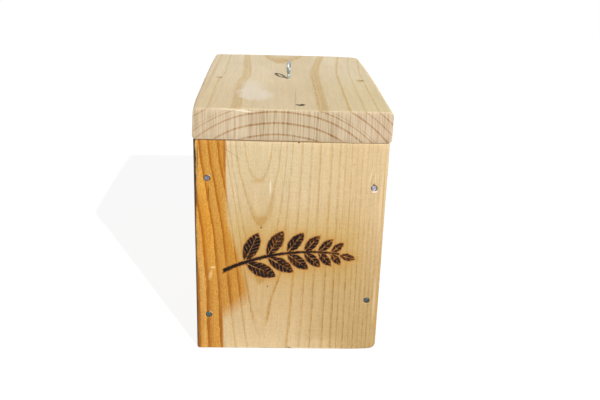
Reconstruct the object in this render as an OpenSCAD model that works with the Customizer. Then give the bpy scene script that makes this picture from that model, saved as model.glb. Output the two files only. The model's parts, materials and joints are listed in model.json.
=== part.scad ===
// Nest box: four nailed pine walls, a floor set in between them, a flat nailed roof and
// a screw eye to hang it by. Millimetres, +Z up. The origin lies under the middle of the
// roof, at the level on which the walls stand. The entrance faces +Y.

/* [Box] */
// Width of the back and front walls
box_w = 142; // [120:1:180]
// Depth over the back and front walls
box_d = 206; // [160:1:240]
// Height of the walls
wall_h = 172; // [150:1:240]
// Thickness of the wall and floor boards
board_t = 22; // [15:0.5:25]
// Radius of the eased long edges of the wall boards
wall_edge_r = 2.4; // [0.5:0.1:4]
// Radius of the worn lower corner of the back wall
worn_corner_r = 4; // [2:0.5:8]

/* [Roof] */
// Thickness of the roof board
roof_t = 23; // [18:0.5:30]
// Overhang of the roof past each side wall
roof_over_side = 1; // [0:0.5:20]
// Overhang of the roof past the back wall
roof_over_back = 1; // [0:0.5:20]
// Overhang of the roof past the entrance
roof_over_front = 17; // [5:1:60]
// Radius of the eased long edges of the roof board
roof_edge_r = 3; // [0.5:0.1:5]
// Radius of the roof's worn corner over the entrance, seen from above
roof_corner_r = 7; // [4:0.5:12]

/* [Entrance] */
// Diameter of the entrance hole
hole_d = 32; // [26:1:45]
// Height of the hole's centre, as a share of the wall height
hole_rise = 0.73; // [0.6:0.01:0.78]

/* [Nails] */
// Length of a nail
nail_l = 50; // [40:1:50]
// Shank diameter
nail_d = 2.2; // [1.6:0.1:3]
// Head diameter
nail_head_d = 4.4; // [4:0.1:6]
// Head thickness
nail_head_t = 0.9; // [0.6:0.1:1.4]
// Depth of the wall nail heads below the face
wall_nail_sink = 0.3; // [0.1:0.1:1]
// Depths of the roof nail heads below the face, in the order of ROOF_ENDS
roof_nail_sink = [1, 1, 0.3, 1]; // [0.1:0.1:1.5]
// Width of the crushed rim around a sunk head
dent_rim = 0.3; // [0.1:0.1:0.6]
// Heights of the back wall's nails, as shares of the wall height
back_nail_rise = [0.83, 0.797, 0.174, 0.256]; // [0.17:0.001:0.85]
// Heights of the front wall's nails, as shares of the wall height
front_nail_rise = [0.82, 0.83, 0.2, 0.19]; // [0.17:0.001:0.85]

/* [Screw eye] */
// Wire diameter of the ring
eye_wire_d = 2.4; // [1.6:0.1:3]
// Outer diameter of the ring
eye_outer_d = 11.4; // [10:0.2:16]
// Height of the ring's top above the roof
eye_rise = 15.3; // [13:0.1:22]
// Turn of the ring about its shank
eye_turn = -9; // [-90:1:90]
// Opening left between the wire's end and the neck, in degrees
eye_gap = 24; // [18:1:40]

/* [Hidden] */
$fn = 48;
edge_steps = 5;
clear = 1;

y_back = -(box_d + roof_over_back + roof_over_front) / 2 + roof_over_back;
y_front = y_back + box_d;
y_mid = (y_back + y_front) / 2;
side_x = (box_w - board_t) / 2;
inner_w = box_w - 2 * board_t;
inner_d = box_d - 2 * board_t;

roof_w = box_w + 2 * roof_over_side;
roof_d = box_d + roof_over_back + roof_over_front;
roof_top = wall_h + roof_t;

hole_z = wall_h * hole_rise;
corner_nail_x = side_x + 1.5;
floor_nail_y = [y_mid - inner_d / 4, y_mid + inner_d / 4];

eye_pos = [-1.5, y_back + box_d * 0.524];
eye_ring_r = (eye_outer_d - eye_wire_d) / 2;
eye_ring_z = roof_top + eye_rise - eye_outer_d / 2;
eye_shank_d = eye_wire_d - 0.3;
eye_depth = roof_t - 4;

SIDES = ["left", "right"];
CORNERS = ["top_left", "top_right", "bottom_left", "bottom_right"];
ROOF_ENDS = ["left", "right", "back", "front"];

// Points of a quarter circle of radius r about c, starting at angle a
function quarter(c, r, a) =
    [for (i = [0 : edge_steps]) c + r * [cos(a + 90 * i / edge_steps), sin(a + 90 * i / edge_steps)]];

// Rectangle centred on the origin. radii: its corners from the upper right, anticlockwise
function rounded_box(w, h, radii) = concat(
    quarter([w / 2 - radii[0], h / 2 - radii[0]], radii[0], 0),
    quarter([radii[1] - w / 2, h / 2 - radii[1]], radii[1], 90),
    quarter([radii[2] - w / 2, radii[2] - h / 2], radii[2], 180),
    quarter([w / 2 - radii[3], radii[3] - h / 2], radii[3], 270)
);

// Outline of a board's end with all four long edges eased
function board_end(w, t, r) = rounded_box(w, t, [r, r, r, r]);

// Nail with its head's top at the origin, pointing down
module nail() {
    point_l = 1.5 * nail_d;
    rotate_extrude()
        polygon([
            [0, 0],
            [nail_head_d / 2, 0],
            [nail_head_d / 2, -nail_head_t],
            [nail_d / 2, -nail_head_t],
            [nail_d / 2, point_l - nail_l],
            [0, -nail_l]
        ]);
}

// Nail driven into a face at z = 0, or the room that it takes up there
module driven(sink, room) {
    translate([0, 0, -sink]) {
        nail();
        if (room) cylinder(d = nail_head_d + 2 * dent_rim, h = sink + clear);
    }
}

// Nail i of the back wall, counted as in CORNERS
module back_wall_nail(i, room = false) {
    x = i % 2 == 0 ? -corner_nail_x : corner_nail_x;
    translate([x, y_back, wall_h * back_nail_rise[i]])
        rotate([90, 0, 0])
            driven(wall_nail_sink, room);
}

// Nail i of the front wall
module front_wall_nail(i, room = false) {
    x = i % 2 == 0 ? -corner_nail_x : corner_nail_x;
    translate([x, y_front, wall_h * front_nail_rise[i]])
        rotate([-90, 0, 0])
            driven(wall_nail_sink, room);
}

// Nail k of the side wall s, into the edge of the floor
module floor_nail(s, k, room = false) {
    toward = s == 0 ? -1 : 1;
    translate([toward * box_w / 2, floor_nail_y[k], board_t / 2])
        rotate([0, toward * 90, 0])
            driven(wall_nail_sink, room);
}

// Nail e of the roof, counted as in ROOF_ENDS
module roof_nail(e, room = false) {
    places = [
        [-side_x, y_mid + 2],
        [side_x - 1, y_mid + 5],
        [6, y_back + board_t * 0.75],
        [-4, y_front - board_t / 2]
    ];
    translate([places[e][0], places[e][1], roof_top])
        driven(roof_nail_sink[e], room);
}

// Room that all the nails take up in the boards
module nail_room() {
    for (i = [0:3]) {
        back_wall_nail(i, true);
        front_wall_nail(i, true);
        roof_nail(i, true);
    }
    for (s = [0:1], k = [0:1]) floor_nail(s, k, true);
}

module back_wall() {
    square_r = 1;
    color("#e6c994")
        difference() {
            intersection() {
                translate([0, y_back + board_t / 2, 0])
                    linear_extrude(wall_h)
                        polygon(board_end(box_w, board_t, wall_edge_r));
                translate([0, y_back + board_t + clear, wall_h / 2])
                    rotate([90, 0, 0])
                        linear_extrude(board_t + 2 * clear)
                            polygon(rounded_box(box_w, wall_h, [0.5, 0.5, square_r, worn_corner_r]));
            }
            nail_room();
        }
}

module front_wall() {
    color("#e3c48b")
        difference() {
            translate([0, y_front - board_t / 2, 0])
                linear_extrude(wall_h)
                    polygon(board_end(box_w, board_t, wall_edge_r));
            translate([0, y_front + clear, hole_z])
                rotate([90, 0, 0])
                    cylinder(d = hole_d, h = board_t + 2 * clear);
            nail_room();
        }
}

// Side wall between the back and front walls. toward: -1 on the left, 1 on the right
module side_wall(toward) {
    difference() {
        translate([toward * side_x, y_mid, 0])
            linear_extrude(wall_h)
                polygon(board_end(board_t, inner_d, wall_edge_r));
        nail_room();
    }
}

module left_wall() {
    color("#dfbf85") side_wall(-1);
}

module right_wall() {
    color("#e1c28a") side_wall(1);
}

module floor_board() {
    color("#dcbd86")
        difference() {
            translate([-inner_w / 2, y_back + board_t, 0])
                cube([inner_w, inner_d, board_t]);
            nail_room();
        }
}

module roof() {
    square_r = 2;
    color("#dcc8a2")
        difference() {
            intersection() {
                translate([0, roof_d / 2, roof_top - roof_t / 2])
                    rotate([90, 0, 0])
                        linear_extrude(roof_d)
                            polygon(board_end(roof_w, roof_t, roof_edge_r));
                translate([0, 0, wall_h - clear])
                    linear_extrude(roof_t + 2 * clear)
                        polygon(rounded_box(roof_w, roof_d, [roof_corner_r, square_r, 0.5, 0.5]));
            }
            nail_room();
            translate([eye_pos[0], eye_pos[1], roof_top - eye_depth])
                cylinder(d = eye_shank_d, h = eye_depth + clear);
        }
}

module screw_eye() {
    neck_top = eye_ring_z - eye_ring_r;
    color("#c9ced2")
        translate([eye_pos[0], eye_pos[1], 0])
            rotate([0, 0, eye_turn]) {
                translate([0, 0, roof_top - eye_depth])
                    cylinder(d = eye_shank_d, h = neck_top - roof_top + eye_depth);
                translate([0, 0, eye_ring_z])
                    rotate([90, 90, 90])
                        rotate_extrude(angle = 360 - eye_gap)
                            translate([eye_ring_r, 0])
                                circle(d = eye_wire_d);
            }
}

back_wall();
front_wall();
left_wall();
right_wall();
floor_board();  // floor
roof();
screw_eye();
for (i = [0:3]) {
    color("#8f9498") back_wall_nail(i);
    color("#8f9498") front_wall_nail(i);
    color("#6f6a63") roof_nail(i);
}
for (s = [0:1], k = [0:1])
    color("#8f9498") floor_nail(s, k);
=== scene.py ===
"""A nest box of nailed pine boards with a flat roof and a screw eye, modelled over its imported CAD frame."""

import json
import math
import random
from types import SimpleNamespace

import bmesh
import bpy
from bpy.props import FloatProperty, FloatVectorProperty, PointerProperty
from mathutils import Matrix, Vector


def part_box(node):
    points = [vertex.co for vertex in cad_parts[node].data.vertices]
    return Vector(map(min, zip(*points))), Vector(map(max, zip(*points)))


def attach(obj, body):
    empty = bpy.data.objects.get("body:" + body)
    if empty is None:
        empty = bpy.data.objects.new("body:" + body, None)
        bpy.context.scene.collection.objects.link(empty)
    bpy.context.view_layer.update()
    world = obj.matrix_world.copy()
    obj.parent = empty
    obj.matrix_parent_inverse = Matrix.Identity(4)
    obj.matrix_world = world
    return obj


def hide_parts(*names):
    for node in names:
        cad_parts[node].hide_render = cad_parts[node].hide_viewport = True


bl_info = {
    "name": "Pine Nest Box",
    "version": (1, 0, 0),
    "blender": (4, 5, 0),
    "location": "3D View > Sidebar > Nest Box",
    "description": "Models a nailed pine nest box, board by board, over its CAD frame",
    "category": "Add Mesh",
}

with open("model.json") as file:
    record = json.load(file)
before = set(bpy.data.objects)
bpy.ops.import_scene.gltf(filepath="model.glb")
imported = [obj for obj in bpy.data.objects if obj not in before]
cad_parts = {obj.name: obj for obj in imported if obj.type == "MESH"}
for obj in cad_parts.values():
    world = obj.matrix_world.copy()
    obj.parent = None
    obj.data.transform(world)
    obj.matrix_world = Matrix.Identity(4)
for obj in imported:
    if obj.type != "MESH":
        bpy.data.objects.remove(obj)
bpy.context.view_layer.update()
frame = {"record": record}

MM = 0.001
X, Y, Z = 0, 1, 2
# Socket numbers of the Mix node: the two inputs and the result, for numbers, colours and vectors
NUMBER_A, NUMBER_B = 2, 3
MIX_A, MIX_B, MIX_OUT = 6, 7, 2
VECTOR_A, VECTOR_B, VECTOR_OUT = 4, 5, 1
# The ease of a ramp that starts and ends gently
SOFT = "SMOOTHSTEP"
WHITE = (1, 1, 1, 1)

ENTRANCE = next(mount for mount in frame["record"]["mounts"] if mount["name"] == "entrance")
HOLE_Z = ENTRANCE["pos_m"][Z]
HOLE_R = ENTRANCE["dims"]["r_mm"] * MM


def linear(shade):
    """Turns an sRGB hex colour into linear red, green, blue and alpha."""
    parts = [int(shade[i : i + 2], 16) / 255 for i in (1, 3, 5)]
    return tuple(p / 12.92 if p <= 0.04045 else ((p + 0.055) / 1.055) ** 2.4 for p in parts) + (1.0,)


# ---------- Settings ----------

# What every colour setting shares
SHADE = {"subtype": "COLOR", "min": 0, "max": 1}


class WoodSettings(bpy.types.PropertyGroup):
    """How the boards are sawn, eased and coloured."""

    wall_ease: FloatProperty(
        name="Wall edge radius", description="Radius of the eased long edges of the wall boards",
        default=2.4 * MM, min=0.5 * MM, max=4 * MM, unit="LENGTH")
    roof_ease: FloatProperty(
        name="Roof edge radius", description="Radius of the eased long edges of the roof board",
        default=3 * MM, min=0.5 * MM, max=5 * MM, unit="LENGTH")
    end_ease: FloatProperty(
        name="Sawn end radius", description="Width of the broken arris round a board's sawn ends",
        default=0.6 * MM, min=0.1 * MM, max=2 * MM, unit="LENGTH")
    cell: FloatProperty(
        name="Mesh step", description="Distance between the cuts that let a board's faces wander",
        default=5 * MM, min=2 * MM, max=20 * MM, unit="LENGTH")
    wander: FloatProperty(
        name="Unevenness", description="How far a planed face departs from flat",
        default=0.3 * MM, min=0, max=1 * MM, unit="LENGTH")
    roof_lift: FloatProperty(
        name="Roof lift", description="How far the roof's left edge has cupped up off the walls",
        default=0.7 * MM, min=0, max=2 * MM, unit="LENGTH")
    early: FloatVectorProperty(
        name="Early wood", description="Pale wood between the ring lines of the walls",
        default=linear("#dec8a0")[:3], **SHADE)
    late: FloatVectorProperty(
        name="Late wood tint", description="Tint that the dense late wood gives to the early wood's colour",
        default=linear("#d6b870")[:3], **SHADE)
    heart: FloatVectorProperty(
        name="Heartwood", description="Resin-rich orange wood along the back wall's left edge",
        default=linear("#dea345")[:3], **SHADE)
    # The roof's wood is set paler than the walls', as painted light that makes up for the weaker key light on
    # its top
    roof: FloatVectorProperty(
        name="Roof wood", description="Pale wood of the roof board",
        default=linear("#f4deb6")[:3], **SHADE)
    roof_late: FloatVectorProperty(
        name="Roof late wood tint", description="Tint that the dense late wood gives to the roof's colour",
        default=linear("#dbc17e")[:3], **SHADE)


class MarkSettings(bpy.types.PropertyGroup):
    """The sprig burnt into the back wall."""

    char: FloatVectorProperty(
        name="Char", description="Colour of the fully burnt wood",
        default=linear("#0a0504")[:3], **SHADE)
    depth: FloatProperty(
        name="Burn depth", description="How far the hot iron has sunk the wood",
        default=0.35 * MM, min=0, max=1 * MM, unit="LENGTH")


class StageSettings(bpy.types.PropertyGroup):
    """The camera, the lamps and the floor."""

    lens: FloatProperty(
        name="Lens", description="Focal length of the camera",
        default=44.48, min=20, max=200, unit="CAMERA")
    sun: FloatProperty(
        name="Key light", description="Strength of the key light from the right",
        default=3.85, min=0, max=10)
    fill: FloatProperty(
        name="Room light", description="Strength of the even light from all round",
        default=0.06, min=0, max=1)


# ---------- Bench work: selecting, cutting and placing ----------


def enter(mode):
    """Changes the active piece to a mode, EDIT or OBJECT."""
    bpy.ops.object.mode_set(mode=mode)


def clear_selection():
    """Leaves object mode with nothing selected, so that the next operator acts on its own piece only."""
    if bpy.context.object and bpy.context.object.mode != "OBJECT":
        enter("OBJECT")
    bpy.ops.object.select_all(action="DESELECT")


def only(piece):
    """Makes one piece the selected and the active one."""
    clear_selection()
    piece.select_set(True)
    bpy.context.view_layer.objects.active = piece


def open_up(name):
    """Names the shape just added, takes its place and size into its mesh, and opens it for editing."""
    piece = bpy.context.object
    piece.name = name
    bpy.ops.object.transform_apply()
    enter("EDIT")
    return piece


def close_up():
    """Turns the edited piece's faces outwards and leaves edit mode."""
    bpy.ops.mesh.select_all(action="SELECT")
    bpy.ops.mesh.normals_make_consistent(inside=False)
    enter("OBJECT")


def pick(piece, kind, test):
    """In edit mode, selects the vertices, edges or faces that pass the test, and nothing else."""
    bpy.ops.mesh.select_mode(type=kind)
    bpy.ops.mesh.select_all(action="DESELECT")
    mesh = bmesh.from_edit_mesh(piece.data)
    for part in {"VERT": mesh.verts, "EDGE": mesh.edges, "FACE": mesh.faces}[kind]:
        if test(part):
            part.select_set(True)
    bmesh.update_edit_mesh(piece.data)


def drag(piece, test, way, reach, falloff="SHARP"):
    """Moves the vertices that pass the test, and those within reach of them less and less."""
    pick(piece, "VERT", test)
    bpy.ops.transform.translate(
        value=way, use_proportional_edit=True, proportional_edit_falloff=falloff, proportional_size=reach)


def lengthen(depth, widen=1.0):
    """Extrudes the selected face down by a depth, and widens or narrows its end."""
    bpy.ops.mesh.extrude_region_move(TRANSFORM_OT_translate={"value": (0, 0, -depth)})
    bpy.ops.transform.resize(value=(widen, widen, 1), center_override=(0, 0, 0))


def turned(name, vertices, rings):
    """Turns a round cutter as on a lathe, from the top down: each ring is a step down and a radius."""
    (top, wide), *rest = rings
    clear_selection()
    bpy.ops.mesh.primitive_circle_add(vertices=vertices, radius=wide, fill_type="NGON", location=(0, 0, top))
    cutter = open_up(name)
    pick(cutter, "FACE", lambda f: True)
    for down, radius in rest:
        lengthen(down, radius / wide)
        wide = radius
    close_up()
    return cutter


def set_down(template, name, place, way, turn=0.0):
    """Copies a piece modelled along -Z, with its own mesh, and sets the copy at a place and way."""
    only(template)
    bpy.ops.object.duplicate()
    copy = bpy.context.object
    copy.name = name
    aim = way.to_track_quat("-Z", "Y").to_matrix().to_4x4()
    copy.matrix_world = Matrix.Translation(place) @ aim @ Matrix.Rotation(turn, 4, "Z")
    bpy.ops.object.transform_apply()
    return copy


def finish_piece(piece, nodes, material, crease=24):
    """Gives a finished piece its smoothing and material, and puts it in its CAD node's place."""
    only(piece)
    bpy.ops.object.shade_smooth_by_angle(angle=math.radians(crease))
    piece.data.materials.clear()
    piece.data.materials.append(material)
    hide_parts(*nodes)
    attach(piece, "root")
    clear_selection()


def apply_displace(piece, size, strength, group=""):
    """Pushes a piece's faces in and out by a cloud pattern of that size."""
    clouds = bpy.data.textures.new(piece.name + " clouds", "CLOUDS")
    clouds.noise_scale = size
    clouds.noise_depth = 1
    push = piece.modifiers.new("wander", "DISPLACE")
    push.texture = clouds
    push.texture_coords = "LOCAL"
    push.strength = strength
    push.mid_level = 0.5
    push.vertex_group = group
    only(piece)
    bpy.ops.object.modifier_apply(modifier=push.name)


def cut_away(piece, cutters):
    """Takes the cutters' shapes out of a piece, and clears the cutters away."""
    only(cutters[0])
    for cutter in cutters:
        cutter.select_set(True)
    if len(cutters) > 1:
        bpy.ops.object.join()
    tool = bpy.context.object
    saw = piece.modifiers.new("cut", "BOOLEAN")
    saw.object = tool
    saw.operation = "DIFFERENCE"
    saw.solver = "EXACT"
    only(piece)
    bpy.ops.object.modifier_apply(modifier=saw.name)
    bpy.data.objects.remove(tool)


# ---------- Boards ----------


def edge_nearness(point, low, high):
    """1 within 0.4 mm of an edge of the board's box, falling to 0 at 2.4 mm from it."""
    gaps = sorted(min(point[i] - low[i], high[i] - point[i]) for i in range(3))
    return max(0.0, min(1.0, 1 - (gaps[1] - 0.4 * MM) / (2 * MM)))


def board(name, grain, ease, corner=None):
    """Saws a board to its node's size, eases its edges and cuts its faces up, so that they can wander.

    corner names one worn corner of its face: the face's two axes, with the side of each that the corner
    lies on, and its radius. How near each vertex lies to an edge is kept for the material's handling wear.
    """
    wood = bpy.context.scene.nest_box_wood
    low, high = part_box(name)
    size = high - low
    clear_selection()
    bpy.ops.mesh.primitive_cube_add(size=1, location=(low + high) / 2, scale=size)
    piece = open_up("pine_" + name)
    if corner:
        (a, side_a), (b, side_b), radius = corner
        spot = {a: (low, high)[side_a][a], b: (low, high)[side_b][b]}
        pick(piece, "EDGE", lambda e: all(abs(v.co[i] - spot[i]) < 0.1 * MM for v in e.verts for i in spot))
        bpy.ops.mesh.bevel(offset=radius, segments=5, affect="EDGES")

    def is_long(edge):
        """Whether an edge runs along the grain, or is one of the worn corner's short ones."""
        reach = abs((edge.verts[0].co - edge.verts[1].co)[grain])
        return reach > size[grain] * 0.9 or edge.calc_length() < 2.6 * MM

    pick(piece, "EDGE", is_long)
    bpy.ops.mesh.bevel(offset=ease, segments=4, affect="EDGES")
    pick(piece, "FACE", lambda f: abs(f.normal[grain]) > 0.99)
    bpy.ops.mesh.region_to_loop()
    bpy.ops.mesh.bevel(offset=wood.end_ease, segments=2, affect="EDGES")
    for axis in (grain, *(a for a in range(3) if a != grain)):
        count = max(2, round(size[axis] / wood.cell))
        way = Vector([float(a == axis) for a in range(3)])
        for step in range(1, count):
            bpy.ops.mesh.select_all(action="SELECT")
            bpy.ops.mesh.bisect(plane_co=low + size * (step / count), plane_no=way)
    enter("OBJECT")
    edges = piece.vertex_groups.new(name="edges")
    for vertex in piece.data.vertices:
        nearness = edge_nearness(vertex.co, low, high)
        if nearness > 0:
            edges.add([vertex.index], nearness, "REPLACE")
    # Faces wander in waves of 45 mm, edges in nicks of 7 mm
    apply_displace(piece, 45 * MM, wood.wander)
    apply_displace(piece, 7 * MM, wood.wander, "edges")
    worn = piece.data.attributes.new("worn", "FLOAT", "POINT")
    for vertex, value in zip(piece.data.vertices, worn.data):
        value.value = edge_nearness(vertex.co, low, high)
    return piece


HOLE_SIDES = 72
# How the entrance's rims flare at the board's faces: steps down and widths past the bore, in lips
LIP = 1.4 * MM
FLARE = ((0, 3.2), (2.2, 1), (0.13, 0.5), (0.37, 0.13), (0.5, 0))


def entrance_bit():
    """A cutter for the entrance: a straight bore whose rims flare a little at both faces."""
    low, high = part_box("front_wall")
    rings = [(down * LIP, HOLE_R + out * LIP) for down, out in FLARE]
    rings.append((high.y - low.y - 2 * LIP, HOLE_R))
    rings += [(FLARE[i][0] * LIP, HOLE_R + FLARE[i - 1][1] * LIP) for i in (4, 3, 2, 1)]
    bit = turned("entrance_bit", HOLE_SIDES, rings)
    start = Vector((0, high.y + FLARE[1][0] * LIP, HOLE_Z))
    cutter = set_down(bit, "entrance_cutter", start, Vector((0, -1, 0)))
    bpy.data.objects.remove(bit)
    return cutter


# ---------- Nails: where they are, their heads, and the room they take in the boards ----------

CORNERS = ("top_left", "top_right", "bottom_left", "bottom_right")
# The ways in which the nails were driven, by the start of their names
NAIL_WAYS = {
    "back_wall_nail": (0, 1, 0),
    "front_wall_nail": (0, -1, 0),
    "floor_nail_left": (1, 0, 0),
    "floor_nail_right": (-1, 0, 0),
    "roof_nail": (0, 0, -1),
}
NAILS = (
    [f"{wall}_wall_nail_{corner}" for wall in ("back", "front") for corner in CORNERS]
    + [f"floor_nail_{side}_{k}" for side in ("left", "right") for k in (1, 2)]
    + [f"roof_nail_{end}" for end in ("left", "right", "back", "front")]
)
NAIL_SIDES = 28
NAIL_HEAD_R = 2.2 * MM
NAIL_SHANK_R = 1.1 * MM
NAIL_LENGTH = 50 * MM
NAIL_POINT = 3.3 * MM
HEAD_THICK = 0.9 * MM
# How much wider than the nail its seat and bore are
NAIL_PLAY = 1.02
# The crushed dent over a nail's head: steps down and radii, in millimetres
DENT = ((2, 3.2), (1.7, 3.008), (0.2, 2.587), (0.1, 2.458))


def nail_place(name):
    """The middle of a nail's head and the way it was driven, both read from the frame."""
    way = Vector(next(w for start, w in NAIL_WAYS.items() if name.startswith(start)))
    low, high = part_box(name)
    middle = (low + high) / 2
    return middle - way * (abs((high - low).dot(way)) / 2), way


def pick_top(piece):
    """Selects the faces of the edited piece that look up at its top."""
    top = max(v.co.z for v in bmesh.from_edit_mesh(piece.data).verts)
    pick(piece, "FACE", lambda f: f.normal.z > 0.9 and f.calc_center_median().z > top - 0.02 * MM)


def model_nail():
    """Models one nail with its head's top at the origin: crowned head, straight shank, cut point."""
    clear_selection()
    bpy.ops.mesh.primitive_cylinder_add(
        vertices=NAIL_SIDES, radius=NAIL_HEAD_R, depth=HEAD_THICK, location=(0, 0, -HEAD_THICK / 2))
    nail = open_up("nail_template")
    pick(nail, "FACE", lambda f: f.normal.z < -0.9)
    bpy.ops.mesh.inset(thickness=NAIL_HEAD_R - NAIL_SHANK_R)
    lengthen(NAIL_LENGTH - HEAD_THICK - NAIL_POINT)
    lengthen(NAIL_POINT, 0.12)
    pick_top(nail)
    bpy.ops.mesh.region_to_loop()
    bpy.ops.mesh.bevel(offset=0.28 * MM, segments=3, affect="EDGES")
    for width, rise in ((0.35, 0.04), (0.5, 0.03), (0.5, -0.02)):
        pick_top(nail)
        bpy.ops.mesh.inset(thickness=width * MM, depth=rise * MM)
    enter("OBJECT")
    return nail


def nail_rooms(*parts):
    """Cutters for the nails whose names hold one of the parts: the crushed dent, the seat and the bore."""
    rings = [(down * MM, radius * MM) for down, radius in DENT]
    bore = NAIL_SHANK_R * NAIL_PLAY
    rings += [(HEAD_THICK, NAIL_HEAD_R * NAIL_PLAY), (0.02 * MM, bore), (NAIL_LENGTH, bore)]
    template = turned("nail_room_template", NAIL_SIDES, rings)
    names = [name for name in NAILS if any(part in name for part in parts)]
    rooms = [set_down(template, "room_" + name, *nail_place(name)) for name in names]
    bpy.data.objects.remove(template)
    return rooms


# ---------- Screw eye ----------

EYE_OUTER = 11.4 * MM
EYE_WIRE = 2.4 * MM
EYE_TURN = math.radians(9)
EYE_BORE_R = 1.08 * MM
EYE_BORE_SIDES = 20
# How far the shank's cutter stands out of the roof
BORE_RISE = 4 * MM


def eye_middle():
    """The middle of the screw eye's ring."""
    low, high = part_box("screw_eye")
    middle = (low + high) / 2
    return Vector((middle.x, middle.y, high.z - EYE_OUTER / 2))


def eye_bore():
    """A cutter for the screw eye's shank."""
    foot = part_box("screw_eye")[0].z
    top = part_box("roof")[1].z + BORE_RISE
    middle = eye_middle()
    middle.z = (top + foot) / 2
    clear_selection()
    bpy.ops.mesh.primitive_cylinder_add(
        vertices=EYE_BORE_SIDES, radius=EYE_BORE_R, depth=top - foot, location=middle)
    bore = bpy.context.object
    bore.name = "eye_bore"
    bpy.ops.object.transform_apply()
    return bore


def bend_eye():
    """Bends the eye: a pointed shank, a short neck, and a ring that stops short of the neck."""
    middle = eye_middle()
    ring = (EYE_OUTER - EYE_WIRE) / 2
    side = Vector((math.sin(EYE_TURN), math.cos(EYE_TURN), 0))
    up = Vector((0, 0, 1))
    foot = Vector((middle.x, middle.y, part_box("screw_eye")[0].z))
    neck = Vector((middle.x, middle.y, middle.z - ring - 2.3 * MM))
    # Each bend: its place, the wire's way there, how far its handles reach, and the wire's thickness
    bends = [
        (foot, up, 2 * MM, 0.12),
        (foot + up * 4 * MM, up, 2 * MM, 0.82),
        (neck - up * 3 * MM, up, 1 * MM, 0.86),
        (neck, up, 1.2 * MM, 1.0),
    ]
    # Handles of this reach keep the wire round between bends 30 degrees apart
    handle = 4 / 3 * math.tan(math.radians(7.6)) * ring
    for angle in range(36, 337, 30):
        a = math.radians(angle)
        spot = middle + side * (ring * math.sin(a)) - up * (ring * math.cos(a))
        bends.append((spot, side * math.cos(a) + up * math.sin(a), handle, 1.0))
    clear_selection()
    bpy.ops.curve.primitive_bezier_curve_add(location=(0, 0, 0))
    wire = bpy.context.object
    wire.name = "zinc_screw_eye"
    curve = wire.data
    points = curve.splines[0].bezier_points
    points.add(len(bends) - len(points))
    for point, (spot, way, reach, thick) in zip(points, bends):
        point.handle_left_type = point.handle_right_type = "FREE"
        point.co = spot
        point.handle_left = spot - way * reach
        point.handle_right = spot + way * reach
        point.radius = thick
    curve.resolution_u = 6
    curve.bevel_depth = EYE_WIRE / 2
    curve.bevel_resolution = 5
    curve.use_fill_caps = True
    bpy.ops.object.convert(target="MESH")
    enter("EDIT")
    bpy.ops.mesh.select_all(action="SELECT")
    bpy.ops.mesh.remove_doubles(threshold=0.01 * MM)
    close_up()
    return bpy.context.object


# ---------- Material work ----------
# A ramp is a tuple: a value, where the ramp starts and ends over it, what it gives at those two places
# (0 and 1 if left out), and its ease.

# What the second word of a node's kind sets
MODES = {"Math": "operation", "VectorMath": "operation", "MapRange": "interpolation_type"}


def add(kind, *inputs, tree=None, out=0, **settings):
    """Adds a node, sets its settings, links or fills its inputs, and gives back one of its outputs.

    The node goes into its inputs' own tree, or into the one that is named.
    """
    kind, *mode = kind.split()
    if mode:
        settings[MODES[kind]] = mode[0]
    named = inputs and isinstance(inputs[0], dict)
    fields = inputs[0] if named else dict(enumerate(inputs))
    links = {key: value for key, value in fields.items() if isinstance(value, bpy.types.NodeSocket)}
    tree = tree or next(iter(links.values())).id_data
    node = tree.nodes.new("ShaderNode" + kind)
    for name, value in settings.items():
        setattr(node, name, value)
    for key, value in fields.items():
        if key in links:
            tree.links.new(value, node.inputs[key])
        else:
            node.inputs[key].default_value = value
    return node.outputs[out] if node.outputs else node


def product(*factors):
    """Multiplies factors, each a value, a number or a ramp."""
    result = None
    for factor in factors:
        if isinstance(factor, tuple):
            *ramp, ease = (*factor, *(0, 1, "LINEAR")[len(factor) - 3 :])
            factor = add("MapRange " + ease, *ramp)
        result = factor if result is None else add("Math MULTIPLY", result, factor)
    return result


def stain(colour, *layers, blend="MIX"):
    """Lays shades over a colour, one by one, each by the product of the factors that follow it."""
    for shade, *factors in layers:
        under, over = (linear(c) if isinstance(c, str) else c for c in (colour, shade))
        fields = {0: product(*factors), MIX_A: under, MIX_B: over}
        colour = add("Mix", fields, out=MIX_OUT, data_type="RGBA", blend_type=blend)
    return colour


def gap(value, middle):
    """How far a value lies from a middle, on either side."""
    return add("Math ABSOLUTE", add("Math SUBTRACT", value, middle))


def blot(point, middle, turn, radii, soft):
    """1 inside an oval spot of that middle, turn and radii on a face, fading to 0 over its soft rim."""
    turn = (0, 0, math.radians(turn))
    local = add("Mapping", point, (*middle, 0), turn, (*radii, 1), vector_type="TEXTURE")
    reach = add("VectorMath LENGTH", local, out="Value")
    return product((reach, 1 + soft, 1 - soft, 0, 1, SOFT))


def noise(w, size, detail=2, roughness=0.5, out=0):
    """Noise whose blots are that many millimetres across, through and along the grain."""
    scaled = add("VectorMath MULTIPLY", w.offset, tuple(1 / s for s in size))
    fields = {"Vector": scaled, "Scale": 1, "Detail": detail, "Roughness": roughness}
    return add("TexNoise", fields, out=out)


def wander(w, point, size, reach, detail=2):
    """Shifts a point to and fro over a width of reach, by noise whose blots have that size."""
    shift = noise(w, size, detail, out=1)
    point = add("VectorMath MULTIPLY_ADD", shift, (*reach, 0), point)
    return add("VectorMath SUBTRACT", point, (reach[0] / 2, reach[1] / 2, 0))


def new_material(name):
    """An empty node material, and its tree."""
    material = bpy.data.materials.new(name)
    material.use_nodes = True
    material.node_tree.nodes.clear()
    return material, material.node_tree


def millimetres(tree):
    """The point that a material colours, in millimetres."""
    return add("VectorMath MULTIPLY", add("TexCoord", tree=tree, out="Object"), (1000, 1000, 1000))


def surface(colour, rough, height, more):
    """Ends a material: its colour, roughness and relief in millimetres, and the fields of its kind."""
    bump = add("Bump", {"Height": height, "Distance": MM, "Strength": 1})
    fields = {"Base Color": colour, "Roughness": rough, "Normal": bump, **more}
    add("OutputMaterial", add("BsdfPrincipled", fields))


# ---------- Pine ----------


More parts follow.
